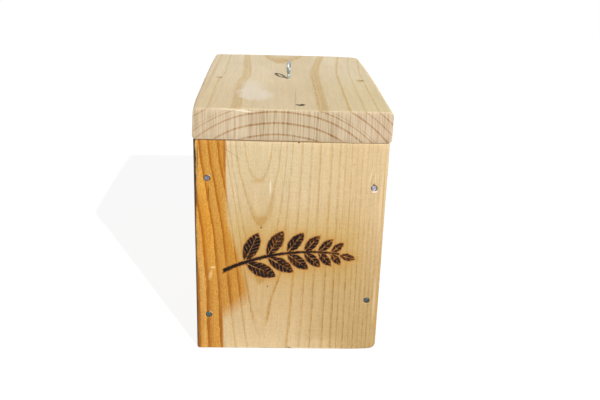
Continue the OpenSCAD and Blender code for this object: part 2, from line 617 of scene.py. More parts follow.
def ring_radii(first, last, apart, seed):
    """Radii of year rings from first to last, which lie about that far apart."""
    spread = random.Random(seed)
    radii = [first]
    while radii[-1] < last:
        radii.append(radii[-1] + apart * spread.uniform(0.65, 1.35))
    return radii


def year_rings(grain, along, pith, rings, late_from, seed):
    """Year rings round a pith line: late wood from 0 to 1, distance from the pith, and place in the year.

    pith holds two points of the pith line, each (along, across, through), and how the line runs between them,
    or the places, as shares, through which it bends.
    """
    (near, *near_point), (far, *far_point), run = pith
    bent = isinstance(run, tuple)
    ease = "LINEAR" if bent else run
    slide = add("MapRange " + ease, along, near, far, 0, 1, clamp=run != "LINEAR")
    if bent:
        slide = add("FloatCurve", 1, slide)
        for spot in run:
            slide.node.mapping.curves[0].points.new(*spot)
        slide.node.mapping.update()
    ends = {0: slide, VECTOR_A: (*near_point, 0), VECTOR_B: (*far_point, 0)}
    centre = add("Mix", ends, out=VECTOR_OUT, data_type="VECTOR", clamp_factor=False)
    arm = add("VectorMath SUBTRACT", grain, centre)
    arm = add("VectorMath MULTIPLY", arm, (1, 1, 0))
    radius = add("VectorMath LENGTH", arm, out="Value")
    first, last = rings[0], rings[-1]
    years = len(rings) - 1
    count = add("FloatCurve", 1, product((radius, first, last)))
    curve = count.node.mapping.curves[0]
    for number, ring in enumerate(rings[1:-1], 1):
        curve.points.new((ring - first) / (last - first), number / years)
    for point in curve.points:
        point.handle_type = "VECTOR"
    count.node.mapping.update()
    count = add("Math MULTIPLY", count, years)
    within = add("Math FRACT", count)
    year = add("Math ADD", add("Math FLOOR", count), seed)
    weight = add("TexWhiteNoise", {"W": year}, noise_dimensions="1D")
    if isinstance(late_from, tuple):
        late_from = product((radius, *late_from))
    rise = (within, late_from, 0.96, 0, 1, SOFT)
    return product(rise, (within, 0.965, 1, 1, 0), (weight, 0, 1, 0.55, 1)), radius, within


# Sawn ends of the walls: plain wood, the saw's scores, and the tint of the rings
WALL_ENDS = ("#d6bc90", "#ae9066", "#cdaa80")


def wall_body(w):
    """Early wood of a plain wall board, with broad paler and warmer clouds."""
    return stain((*w.wood.early, 1), ("#d6ba8b", (w.cloud, 0.35, 0.65)))


def pine(name, axes, pith, rings, seed, body=wall_body, end_tone=WALL_ENDS, late_from=0.6, drift=(2.4, 2.4),
         lean=None, band=None, late_tint=None, speck=0.058, extra=None):
    """Planed pine: soft satin early wood between harder, browner late-wood lines, sawn rough across the ends.

    axes tells which of X, Y, Z runs across, through and along the grain. body gives the early wood's colour,
    lean pushes the rings aside from place to place, and extra lays stains, marks, wear and some painted shade
    and highlights over the finished wood. All three are handed w, which gathers the point and what has been
    made of it so far. late_from is the share of a year after which late wood begins, or how that share runs
    over the radius. drift is how far the grain wanders across and through the board. band is one broad faint
    band of late
    wood: its first and last radius, and its strength. speck is how strongly the pores show.
    """
    wood = bpy.context.scene.nest_box_wood
    material, tree = new_material(name)
    w = SimpleNamespace(wood=wood)
    w.x, w.y, w.z = xyz = add("SeparateXYZ", millimetres(tree)).node.outputs
    grain = add("CombineXYZ", *(xyz[a] for a in axes))
    w.offset = add("VectorMath ADD", grain, (seed * 31.7, seed * 17.3, seed * 57.1))
    # Slow drift of the grain over 7 cm, a finer quiver over 1 cm, and line edges frayed over 1 mm
    grain = wander(w, grain, (70, 70, 260), drift)
    grain = wander(w, grain, (9, 9, 60), (0.25 * drift[0], 0.25 * drift[1]), 1)
    grain = wander(w, grain, (1, 1, 6), (1.2, 0.3))
    if lean:
        grain = add("VectorMath ADD", grain, lean(w))
    late, w.radius, w.within = year_rings(grain, xyz[axes[2]], pith, rings, late_from, seed)
    ringed = add("Math MULTIPLY", late, 1.9, use_clamp=True)
    # Fibres are hundredths of a millimetre wide: they are drawn 0.7 mm wide, so that they show
    w.fibre = noise(w, (0.7, 0.7, 24), 3, 0.6)
    # Cut pores and tiny tears are finer still: they are drawn as specks of 1 mm
    w.pores = noise(w, (1, 1, 1.3), 1)
    streak = noise(w, (3.5, 3.5, 110))
    w.cloud = noise(w, (45, 45, 120))
    # Planer knives leave a faint ripple every 1.4 mm
    ripple = noise(w, (22, 22, 1.4))
    # The planer tears late wood out here and there, a few millimetres at a time
    torn = noise(w, (1.1, 1.1, 7), 3, 0.65)
    w.late = late = product(late, (streak, 0.3, 0.65, 0.7, 1), (torn, 0.36, 0.56, 0.35, 1))
    if band:
        first, last, strength = band
        broad = product((w.radius, first, first + 0.4, 0, strength), (w.radius, last - 0.3, last, 1, 0))
        w.late = add("Math MAXIMUM", late, broad)
    colour = body(w)
    w.tone = product(
        (w.fibre, 0.25, 0.75, 0.9, 1.07),
        (streak, 0.25, 0.75, 0.955, 1.035),
        (w.pores, 0.3, 0.7, 1 - speck, 1 + speck),
        (ripple, 0.3, 0.7, 0.975, 1.02),
    )
    colour = add("VectorMath SCALE", {0: colour, 3: w.tone})
    colour = stain(colour, ((*(late_tint or wood.late), 1), w.late), blend="MULTIPLY")
    # Torn fibres lie across as short pale dashes, resin ducts along as short dark ones
    dash = noise(w, (2.6, 2.6, 0.7), 2, 0.6)
    colour = stain(colour, ("#efdcb8", (dash, 0.64, 0.76, 0, 0.6)))
    duct = noise(w, (0.8, 0.8, 9), 2, 0.6)
    colour = stain(colour, ("#e0c79c", (duct, 0.36, 0.26, 0, 0.6)), blend="MULTIPLY")
    # Sawn ends: rings stand out browner, and the saw's teeth leave upright scores about 1 mm apart
    facing = add("SeparateXYZ", add("TexCoord", tree=tree, out="Normal")).node.outputs[axes[2]]
    w.end = product((add("Math ABSOLUTE", facing), 0.55, 0.8))
    score = noise(w, (0.85, 38, 38), 3, 0.7)
    deep = noise(w, (6, 30, 30))
    scored = product((score, 0.56, 0.4), (deep, 0.35, 0.65, 0.6, 1))
    sawn = stain(end_tone[0], (end_tone[1], scored))
    sawn = stain(sawn, (end_tone[2], ringed, (scored, 0, 0.7, 0.55, 1)), blend="MULTIPLY")
    # Handling has rubbed the arrises pale
    worn = add("Attribute", tree=tree, out="Fac", attribute_name="worn")
    rub = noise(w, (6, 6, 9), 3)
    w.colour = stain(
        colour,
        (sawn, w.end),
        ("#f1dfbd", (rub, 0.38, 0.58, 0.08, 0.45), (worn, 0.7, 1)),
    )
    w.rough = product((late, 0, 1, 0.64, 0.52))
    # Heights in millimetres: fibres, late wood standing proud, planer ripple, saw scores
    height = product(w.fibre, 0.05)
    height = add("Math MULTIPLY_ADD", late, 0.05, height)
    height = add("Math MULTIPLY_ADD", ripple, 0.03, height)
    w.height = add("Math ADD", product(score, 0.35, w.end), height)
    if extra:
        extra(w)
    surface(w.colour, w.rough, w.height, {"IOR": 1.5, "Specular IOR Level": 0.2})
    return material


def plain_board(name, ease, axes, nails, pith, rings, seed, cutters=(), extra=None):
    """Saws, drills and finishes a board whose faces are left as the planer made them.

    nails are parts of the names of the nails that pass into it. cutters are functions that make what else is
    cut out of it. rings are the first and the last radius of its year rings, and how far these lie apart.
    """
    piece = board(name, axes[2], ease)
    cut_away(piece, nail_rooms(*nails) + [cutter() for cutter in cutters])
    material = pine("pine_planed_" + name, axes, pith, ring_radii(*rings, seed), seed, extra=extra)
    finish_piece(piece, [name], material)


def entrance_wear(w):
    """Grime and claw scuffs round the entrance hole's rim."""
    flat = add("CombineXYZ", w.x, w.z)
    reach = add("VectorMath DISTANCE", flat, (0, HOLE_Z / MM, 0), out="Value")
    reach = add("Math MULTIPLY_ADD", noise(w, (4, 4, 7), 3), 4, reach)
    w.colour = stain(w.colour, ("#a98456", (reach, 21, 17, 0, 0.4, SOFT)))


def spots(w, point, marks):
    """Lays small oval marks on a face: middle, turn in degrees, radii, soft rim, colour and strength."""
    for middle, turn, radii, soft, shade, strength in marks:
        spot = blot(point, middle, turn, radii, soft)
        w.colour = stain(w.colour, (shade, spot, strength))


# ---------- The back wall's wood ----------


def left_lean(w):
    """How far the back wall's left rings lean outwards, in millimetres: more towards the bottom."""
    place = add("Math MULTIPLY_ADD", w.z, 0.105, w.x)
    lean = product((place, -24, -33), (w.z, 172, 100, -2.5, -6.6))
    # Low down, the outermost rings run straighter
    straight = product((w.x, -46, -54, 0, 3.6), (w.z, 55, 0))
    lean = add("Math ADD", lean, straight)
    # The lowest arch has a steep right leg
    leg = product((w.x, -26, -18, 0, 3.6), (w.x, -2, -9), (w.z, 66, 46))
    return add("CombineXYZ", add("Math ADD", lean, leg))


def back_wall_body(w):
    """Early wood of the back wall: pale at the top, browner downwards and to the right."""
    # The ring lines are fainter high up on the right, and inside the lowest arch
    upper = product((w.x, 25, 50, 0, 0.3), (w.z, 60, 110))
    arch = blot(add("CombineXYZ", w.x, w.z), (-22, 12), 0, (9.5, 15), 0.35)
    w.late = product(w.late, (w.z, 60, 130, 1, 0.75), (upper, 0, 1, 1, 0), (arch, 0, 1, 1, 0.2))
    over = product((w.x, -4, 56, 0, 1, SOFT))
    foot = product((w.z, 46, 8, 0, 0.38, SOFT), (over, 0, 1, 1, 0))
    down = add("Math SUBTRACT", product((w.z, 168, 60, 0, 1, SOFT)), foot)
    return stain(
        (*w.wood.early, 1),
        ("#e1c598", over),
        ("#cfaf7f", down),
        ("#bc9d69", (w.z, 120, 5, 0, 1, SOFT), over),
        ("#cfb17c", (w.cloud, 0.35, 0.65, 0, 0.25)),
        ("#dcc093", (w.z, 15, 3, 0, 0.6, SOFT), (w.x, 28, 50, 1, 0)),
    )


def heartwood(w):
    """The resin-rich orange wood along the back wall's left edge, with its dark ring lines."""
    wobble = noise(w, (5, 5, 14))
    border = add("Math MULTIPLY_ADD", wobble, 1.6, product((w.z, 108, 50, -48.9, -34)))
    inside = add("Math SUBTRACT", border, w.x)
    soft = product((w.z, 150, 60, -1.2, -5.5))
    # Its lower border rises to the right, except in the strip at the edge, which runs to the bottom
    above = add("Math MULTIPLY_ADD", w.x, -0.75, w.z)
    above = add("Math MULTIPLY_ADD", wobble, 8, above)
    strip = product((w.x, -49.8, -51.2))
    above = add("Math MAXIMUM", product((above, 66, 79)), strip)
    heart = product((inside, soft, 0), above)
    down = product((w.z, 105, 50, 0, 1, SOFT))
    deep = blot(add("CombineXYZ", w.x, w.z), (-63.5, 104), 0, (4.5, 26), 0.5)
    pale = stain(
        (*w.wood.heart, 1),
        ("#cd9442", down),
        ("#c79143", (w.radius, 82.6, 81.8, 0, 0.6)),
        ("#dca95f", (w.radius, 87.2, 87.6, 0, 0.55)),
        ("#e0b272", (w.z, 120, 150, 0, 0.5), (w.x, -66, -68.5)),
        ("#d88c2a", deep, 0.5),
    )
    dark = stain("#ac6510", ("#a1601a", down))
    # Each year's resin thickens outwards and ends in a dark line, sharp on its outer side
    glow = product((w.within, 0.25, 0.95, 0, 0.5))
    line = (w.within, product((w.z, 110, 60, 0.66, 0.55)), 0.88, 0, 0.6, SOFT)
    resin = add("Math ADD", glow, product(line))
    clots = noise(w, (1, 1, 22), 4, 0.7)
    resin = product(resin, (w.within, 0.965, 1, 1, 0), (clots, 0.34, 0.6, 0.6, 1.1))
    rim = product((inside, 0.5, 2.4, 0.85, 0), (w.z, 138, 152))
    resin = add("Math MAXIMUM", resin, rim)
    resin = add("Math MINIMUM", resin, 1)
    glints = product(w.tone, (w.pores, 0.3, 0.7, 0.89, 1.12))
    orange = add("VectorMath SCALE", {0: pale, 3: glints})
    # Thin resin veins run between the ring lines
    veins = noise(w, (0.9, 0.9, 34), 3, 0.65)
    orange = stain(orange, ("#b97a2a", (veins, 0.5, 0.68, 0, 0.45)), (dark, resin))
    w.colour = stain(w.colour, (orange, heart))


# The stem is an arc of this middle and radius, in millimetres, and reaches so far to both sides of its middle
STEM_X, STEM_Z, STEM_R = 18, -60, 145
STEM_MIDDLE, STEM_REACH = -6, 44
LEAF_SLIMNESS = 0.43
# Where along the stem each pair of leaves grows, and how long its leaves are
LEAF_PAIRS = ((-34, 25), (-17, 22.5), (-2, 19.5), (11, 16.5), (22, 14), (31.5, 11.5))
# The leaf at the stem's tip: middle x and z, turn in degrees, length
TIP_LEAF = (44.5, 81, -14, 11.5)


def sprig():
    """Places the burnt leaves in pairs along their bent stem: middle x and z, turn in degrees, length."""
    leaves = []
    for reach, length in LEAF_PAIRS:
        rise = math.sqrt(STEM_R**2 - (reach - STEM_X) ** 2)
        slope = -math.degrees(math.atan2(reach - STEM_X, rise))
        for side in (1, -1):
            turn = slope + side * 46
            shift = length * 0.56
            x = reach + math.cos(math.radians(turn)) * shift
            z = STEM_Z + rise + math.sin(math.radians(turn)) * shift
            leaves.append((x, z, turn, length))
    return [*leaves, TIP_LEAF]


def leaf_group():
    """How far a point lies outside one leaf, in millimetres, with its midrib and side veins left unburnt."""
    group = bpy.data.node_groups.new("burnt leaf", "ShaderNodeTree")
    for socket in ("Point", "Middle", "Turn", "Bow", "Radius"):
        kind = "NodeSocketFloat" if socket in ("Bow", "Radius") else "NodeSocketVector"
        group.interface.new_socket(socket, in_out="INPUT", socket_type=kind)
    group.interface.new_socket("Outside", in_out="OUTPUT", socket_type="NodeSocketFloat")
    point, middle, turn, bow, radius = group.nodes.new("NodeGroupInput").outputs[:5]
    local = add("Mapping", point, middle, turn, vector_type="TEXTURE")
    reach, wide, _ = add("SeparateXYZ", local).node.outputs
    wide = add("Math ABSOLUTE", wide)
    lens = add("CombineXYZ", reach, add("Math ADD", wide, bow))
    lens = add("VectorMath LENGTH", lens, out="Value")
    lens = add("Math SUBTRACT", lens, radius)
    rib = add("Math MULTIPLY_ADD", reach, -0.02, 0.34)
    rib = add("Math SUBTRACT", rib, wide)
    # Side veins lie 3.4 mm apart and slant forwards
    vein = add("Math MULTIPLY_ADD", wide, -0.9, reach)
    vein = add("Math FRACT", product(vein, 1 / 3.4))
    vein = add("Math MULTIPLY_ADD", gap(vein, 0.5), -2.6, 0.16)
    rib = add("Math MAXIMUM", rib, vein)
    lens = add("Math MAXIMUM", lens, rib)
    group.links.new(lens, group.nodes.new("NodeGroupOutput").inputs[0])
    return group


def burn_sprig(w):
    """A leafy sprig burnt in with a hot iron: charred black, brown at its rim, with a tan halo round it."""
    mark = bpy.context.scene.nest_box_mark
    flat = add("CombineXYZ", w.x, w.z)
    stem = add("VectorMath DISTANCE", flat, (STEM_X, STEM_Z, 0), out="Value")
    thick = product((w.x, -50, 40, 1.35, 0.5))
    stem = add("Math SUBTRACT", gap(stem, STEM_R), thick)
    beyond = add("Math SUBTRACT", gap(w.x, STEM_MIDDLE), STEM_REACH)
    outside = add("Math MAXIMUM", stem, beyond)
    group = leaf_group()
    for x, z, turn, length in sprig():
        width = length * LEAF_SLIMNESS
        bow = (length**2 - width**2) / (4 * width)
        turn = (0, 0, math.radians(turn))
        leaf = add("Group", flat, (x, z, 0), turn, bow, bow + width / 2, node_tree=group)
        outside = add("Math MINIMUM", outside, leaf)
    # The iron's edge is ragged over 1.5 mm, and it pressed unevenly
    ragged = noise(w, (1.5, 1.5, 2.2), 3)
    outside = add("Math MULTIPLY_ADD", ragged, 1.8, outside)
    outside = add("Math SUBTRACT", outside, 0.9)
    face = product((w.y, -106, -107.5))
    press = noise(w, (11, 11, 11), 1)
    char = product((outside, 0.3, -0.25), (press, 0.3, 0.5, 0.85, 1), face)
    beside = gap(w.x, 1.5)
    apart = gap(w.z, 86)
    scorch = ("#f3e7ab", (beside, 66, 40, 0, 1, SOFT), (apart, 46, 8, 0, 0.55, SOFT), face)
    w.colour = stain(w.colour, scorch, blend="MULTIPLY")
    halo = add("Math POWER", product((outside, 8.5, 0)), 2.2)
    # Grey-brown flecks in the char: ash, and painted glints of its split fibres
    ash_and_glints = product((noise(w, (0.9, 0.9, 3)), 0.62, 0.8, 0, 0.4))
    burnt = stain((*mark.char, 1), ("#4c3c36", ash_and_glints))
    w.colour = stain(
        w.colour,
        ("#c68d3a", halo, 0.62, face),
        ("#80431a", (outside, 1.1, 0.1, 0, 0.85), face),
        (burnt, char),
    )
    w.rough = add("Mix", {0: char, NUMBER_A: w.rough, NUMBER_B: 0.85})
    w.height = add("Math MULTIPLY_ADD", char, -mark.depth / MM, w.height)
    w.height = add("Math MULTIPLY_ADD", ash_and_glints, 0.15, w.height)


def bark_and_shade_edge(w):
    """The dark strip along the back wall's left arris: bark, and painted shade of the arris, which turns away
    from the key light.
    """
    rim = add("Math MULTIPLY_ADD", noise(w, (2.5, 2.5, 12), 3), 3.2, w.x)
    rim = add("Math ADD", rim, product((w.z, 105, 128, 0.8, 0)))
    # The strip is bark and painted shade of the left arris
    bark_and_shade = product((rim, -67, -67.7), (w.y, -104, -107))
    flecks = noise(w, (1.2, 1.2, 6))
    dark = stain("#4a3724", ("#8f6a3c", (flecks, 0.4, 0.7)), ("#8a6a42", (w.z, 105, 140, 0.55, 0)))
    w.colour = stain(w.colour, (dark, bark_and_shade))
    w.rough = add("Mix", {0: bark_and_shade, NUMBER_A: w.rough, NUMBER_B: 0.85})


def back_wall_marks(w):
    """Everything that lies over the back wall's plain wood."""
    heartwood(w)
    # Away from the face, the marks' plane is moved out of reach
    face = product((w.y, -109, -110))
    lift = product((face, 0, 1, 9, 0))
    quiver = product((w.fibre, 0, 1, -0.5, 0.5))
    point = add("CombineXYZ", w.x, add("Math ADD", w.z, quiver), lift)
    marks = (
        # Scratches, pin knots and a painted shine on a splinter among the arches
        ((-47.5, 165.2), -34.5, (9, 0.3), 0.7, "#8d5f2a", 0.45),
        ((-39.2, 158.6), -70, (2.2, 0.3), 0.7, "#8d5f2a", 0.45),
        ((-21.5, 104.5), 10, (0.8, 0.7), 0.4, "#4e361d", 0.9),
        ((-16, 55.2), 60, (0.8, 0.45), 0.4, "#5b3f22", 0.85),
        ((-15, 136.8), 90, (4.8, 0.6), 0.5, "#f3e6c6", 0.7),
        # Chips and cracks in the heartwood
        ((-57.8, 71), 0, (1.6, 0.8), 0.6, "#f3d49a", 0.8),
        ((-59.5, 65), 75, (3.6, 1.2), 0.8, "#eec583", 0.6),
        ((-60.4, 132.4), 89, (4.6, 0.35), 0.5, "#70480f", 0.85),
        ((-60.1, 125.5), 87, (5, 0.3), 0.6, "#9c6a22", 0.6),
        ((-67.9, 159), 90, (11, 0.45), 0.6, "#7a4a1c", 0.7),
        # Torn grain round the nails, painted highlights on the crushed rims beside them, and painted shade in
        # the dent above the top right one
        ((58.6, 147.5), 82, (7, 0.3), 0.7, "#f4e2bd", 0.6),
        ((60.3, 145.5), 74, (5, 0.25), 0.7, "#b98f58", 0.5),
        ((61.6, 147), 96, (6, 0.3), 0.7, "#f4e2bd", 0.5),
        ((61.2, 139.9), 20, (0.9, 0.8), 0.5, "#5b3a20", 0.9),
        ((62.2, 134.6), 8, (2, 0.5), 0.5, "#fbf4e6", 0.9),
        ((-59.7, 144.9), -40, (1.1, 0.4), 0.5, "#fbf1dc", 0.85),
        ((-59.6, 32.3), -35, (1.1, 0.4), 0.5, "#f6e6c8", 0.8),
        # Late wood that lies flat in the arches' tips
        ((-22.3, 112), 0, (6.4, 1.7), 0.45, "#bf9654", 0.42),
        ((-22, 108.6), 0, (3.9, 3.6), 0.6, "#bf9654", 0.4),
        ((-13.7, 119.5), 78, (10, 0.9), 0.7, "#c4985a", 0.4),
        ((-24, 141.3), 0, (5.2, 1.6), 0.5, "#c9a66c", 0.5),
        ((-21.5, 33), 0, (4, 4), 0.6, "#c9a571", 0.35),
        # The worn right arris, painted paler as a highlight where it turns to the key light
        ((67.3, 127), 90, (19, 0.9), 0.6, "#e8cfa6", 0.55),
        ((67.3, 45), 90, (17, 0.9), 0.6, "#e4c99c", 0.55),
        ((68.6, 130), 90, (19, 0.35), 0.6, "#c8944c", 0.6),
        ((69.7, 40), 90, (19, 0.4), 0.6, "#c8944c", 0.65),
        # Painted shade in the joint along the upper end, under the roof, and darker marks along the lower end
        ((-24, 171.7), 0, (54, 0.35), 0.5, "#7a4f26", 0.45),
        ((5, 171.2), 0, (0.8, 0.5), 0.5, "#4f3720", 0.85),
        ((2, 0.7), 0, (1.7, 0.7), 0.5, "#6b5236", 0.75),
        ((-10, 0.4), 0, (13, 0.3), 0.6, "#8a6c45", 0.5),
    )
    spots(w, point, marks)
    burn_sprig(w)
    # Bark and painted shade along the left arris
    bark_and_shade_edge(w)


# ---------- The roof's wood ----------


def roof_lean(w):
    """How far the roof's rings wander sideways and sink between its ends, in millimetres."""
    right = product((w.x, 4, 14), (w.y, 6, 104, -3, -0.5))
    bend = product((w.y, -26, 12, 0, 1, SOFT))
    near = product((w.x, -40, -59, 1.8, 1.2))
    far = product((w.x, -40, -59, -1.4, -2.8))
    left = add("Mix", {0: bend, NUMBER_A: near, NUMBER_B: far})
    push = add("Math ADD", product((w.x, -24, -34), left), right)
    apart = gap(w.x, -6)
    sink = product((w.y, 0, 30, 0, 0.6, SOFT), (w.y, 72, 104, 1, 0.3, SOFT), (apart, 26, 16))
    return add("CombineXYZ", push, sink)


def roof_body(w):
    """Early wood of the roof: yellower along its right side, paler away from the back wall."""
    w.late = product(w.late, (w.x, -30, -52, 1, 0.6))
    return stain(
        (*w.wood.roof, 1),
        ("#ecd8a6", (w.x, -20, 60, 0, 0.6, SOFT)),
        ("#f8e6c3", (w.y, -60, 50, 0, 0.85, SOFT)),
        ("#e3c99f", (w.cloud, 0.35, 0.65, 0, 0.5)),
    )


def roof_marks(w):
    """The roof's pale rubbed patch, the tones of its sawn end, the grime round its sunk nails, and painted
    shade along its lower arris and in the hole of the nail over the back wall.
    """
    flat = add("CombineXYZ", w.x, w.y)
    point = wander(w, flat, (8, 8, 14), (12, 12), 3)
    top = product((w.z, 192, 193.5))
    pale = blot(point, (-28, -63), 0, (13, 19), 0.4)
    tail = blot(point, (-31, -40), 4, (8.5, 27), 0.6)
    pale = add("Math MULTIPLY_ADD", tail, 0.8, pale, use_clamp=True)
    streaks = noise(w, (1.4, 1.4, 16))
    w.colour = stain(w.colour, ("#f9ead2", pale, (streaks, 0.3, 0.6, 0.6, 1), top))
    middle = gap(w.x, 5)
    w.colour = stain(w.colour, ("#e7e3da", (middle, 46, 24, 0, 0.6, SOFT), w.end), blend="MULTIPLY")
    # Towards the left the saw's scores and the rings grow faint, on the right the wood is redder
    w.colour = stain(w.colour, ("#ceb695", (w.x, -26, -62, 0, 0.42), w.end))
    w.colour = stain(w.colour, ("#f8f3f0", (w.x, 28, 56), w.end), blend="MULTIPLY")
    # Painted shade: the lower arris is darkened brown where it meets the wall, less so to the right
    w.colour = stain(w.colour, ("#ac7238", (w.z, 173.2, 172.2), (w.x, 8, 40, 0.75, 0.15), w.end))
    # A splinter has lifted along the upper arris, and left a bright patch
    lift = product((w.y, -110, -111.2, 9, 0))
    splinters = (
        ((-35, 193.9), -6, (6.5, 0.55), 0.5, "#f8ead0", 0.75),
        ((-44.5, 194.7), -4, (6, 0.35), 0.5, "#f6e8cc", 0.6),
    )
    spots(w, add("CombineXYZ", w.x, w.z, lift), splinters)
    # Rust and grime have crept into the wood round each nail; round the nail over the back wall the
    # near-black blot is painted shade of its deep hole as well
    point = wander(w, flat, (1.6, 1.6, 2.6), (2.4, 2.4))
    lift = add("CombineXYZ", 0, 0, product((top, 0, 1, 9, 0)))
    marks = (
        ((6, -94.5), 12, (3.6, 2.6), 0.25, "#1d150e", 0.97),
        ((-60, -6), 30, (3.2, 3.4), 0.4, "#a08f6c", 0.7),
        ((59, -3), 0, (3.2, 3.6), 0.4, "#a5844f", 0.75),
        ((-4, 84), 0, (3.2, 3.6), 0.4, "#a48a5c", 0.7),
        # A scratch, a fine check in the wood, and two warmer stretches of grain
        ((-45.5, -19.5), -48, (9, 0.6), 0.8, "#f3e4cd", 0.5),
        ((2.4, -78), 88, (34, 0.35), 0.6, "#b08d58", 0.5),
        ((-65.5, 30), 89, (90, 1.3), 0.7, "#d0b081", 0.4),
        ((-8, 86), 90, (15, 7), 0.8, "#cfa566", 0.3),
    )
    spots(w, add("VectorMath ADD", point, lift), marks)


# ---------- Steel and paper ----------


def zinc_steel(name, bright, dull, grime, roughness, seed):
    """Zinc-plated steel wire: a soft grey metal sheen, mottled by its crystals and dulled by handling."""
    material, tree = new_material(name)
    place = add("VectorMath ADD", millimetres(tree), (seed * 13,) * 3)
    # Zinc crystals and hammer grain of about 1 mm
    crystals = add("TexNoise", {"Vector": place, "Scale": 0.9, "Detail": 3, "Roughness": 0.6})
    stains = add("TexNoise", {"Vector": place, "Scale": 0.35, "Detail": 2})
    stains = product((stains, 0.5, 0.68, 0, 0.8))
    colour = stain(dull, (bright, (crystals, 0.38, 0.62)), (grime, stains))
    rough = product((crystals, 0.3, 0.7, roughness + 0.12, roughness - 0.08))
    rough = add("Math MULTIPLY_ADD", stains, 0.3, rough)
    surface(colour, rough, product(crystals, 0.09), {"Metallic": 1})
    return material


def seen_plainly(tree):
    """1 for rays that come from the camera, or through or off something clear or shiny, and 0 for others."""
    path = add("LightPath", tree=tree).node.outputs
    seen = add("Math MAXIMUM", path["Is Camera Ray"], path["Is Glossy Ray"])
    return add("Math MAXIMUM", seen, path["Is Transmission Ray"])


def studio_floor():
    """Matt white paper: the camera sees it white where it is lit, and the object's shadow stays on it."""
    material, tree = new_material("studio_paper_matt_white")
    paper = add("BsdfDiffuse", linear("#9a9a9a"), tree=tree)
    grey = add("BsdfDiffuse", (0.16, 0.16, 0.16, 1), tree=tree)
    shown = add("AddShader", grey, add("Emission", WHITE, 0.9, tree=tree))
    front = add("MixShader", seen_plainly(tree), paper, shown)
    # From underneath the paper is clear, so that the box's underside can be looked at
    back = add("NewGeometry", tree=tree, out="Backfacing")
    clear = add("BsdfTransparent", tree=tree)
    add("OutputMaterial", add("MixShader", back, front, clear))
    return material


# ---------- Operators: one for each piece or group of like pieces, and one for the stage ----------


class NESTBOX_OT_back_wall(bpy.types.Operator):
    """Saws the back wall, drills it for its nails and burns the sprig into it"""

    bl_idname = "nestbox.back_wall"
    bl_label = "Back Wall"

    def execute(self, context):
        wood = context.scene.nest_box_wood
        piece = board("back_wall", Z, wood.wall_ease, corner=((X, 1), (Z, 0), 5 * MM))
        cut_away(piece, nail_rooms("back_wall", "roof_nail_back"))
        bends = ((0.3, 0.305), (0.6, 0.59), (0.8, 0.81), (0.9, 0.945))
        # Satin pine whose flat-sawn arches stand beside a glowing strip of resinous heartwood
        material = pine(
            "pine_planed_back_wall",
            (X, Y, Z),
            pith=((0, -18.7, -37.83), (172, -24, -42.85), bends),
            rings=(47.3, 50.8, 54.3, 57.5, 60.8, 64, 66.8, 69.1, 70.2, 71.5, 72.8, 75.7, 78.8, 82.2, 87,
                   90.9, 93.6, 96.9, 99.8, 102.4, 105.2, 107.7, 110.1, 112.4, 115.3, 117.8, 120.3),
            seed=1,
            body=back_wall_body,
            late_from=(69.1, 69.6, 0.88, 0.64),
            drift=(1.6, 0.08),
            lean=left_lean,
            extra=back_wall_marks,
        )
        finish_piece(piece, ["back_wall"], material)
        return {"FINISHED"}


class NESTBOX_OT_front_wall(bpy.types.Operator):
    """Saws the front wall, bores the entrance and eases its rims"""

    bl_idname = "nestbox.front_wall"
    bl_label = "Front Wall"

    def execute(self, context):
        ease = context.scene.nest_box_wood.wall_ease
        nails = ("front_wall", "roof_nail_front")
        pith = ((0, 16, 34), (172, 9, 40), "LINEAR")
        # Satin pine with flat-sawn arches, darkened by claws and feathers round the hole
        plain_board(
            "front_wall", ease, (X, Y, Z), nails, pith, (24, 128, 3.3), 3, [entrance_bit], entrance_wear)
        return {"FINISHED"}


class NESTBOX_OT_side_walls(bpy.types.Operator):
    """Saws the two side walls and drills them for the nails that pass into them"""

    bl_idname = "nestbox.side_walls"
    bl_label = "Side Walls"

    def execute(self, context):
        ease = context.scene.nest_box_wood.wall_ease
        # Satin pine with broad arches
        pith = ((0, 18, -14), (172, 8, -22), "LINEAR")
        plain_board("left_wall", ease, (Y, X, Z), ["left"], pith, (24, 132, 3.1), 5)
        # Satin pine with fine upright lines
        pith = ((0, -104, 34), (172, -112, 30), "LINEAR")
        plain_board("right_wall", ease, (Y, X, Z), ["right"], pith, (12, 200, 3.4), 7)
        return {"FINISHED"}


class NESTBOX_OT_floor(bpy.types.Operator):
    """Saws the floor board that is nailed in between the walls"""

    bl_idname = "nestbox.floor"
    bl_label = "Floor"

    def execute(self, context):
        pith = ((-80, 8, 66), (80, 3, 74), "LINEAR")
        # Satin pine with long straight lines from the back of the box to the front
        plain_board("floor", 0.8 * MM, (X, Z, Y), ["floor"], pith, (38, 104, 3.6), 11)
        return {"FINISHED"}


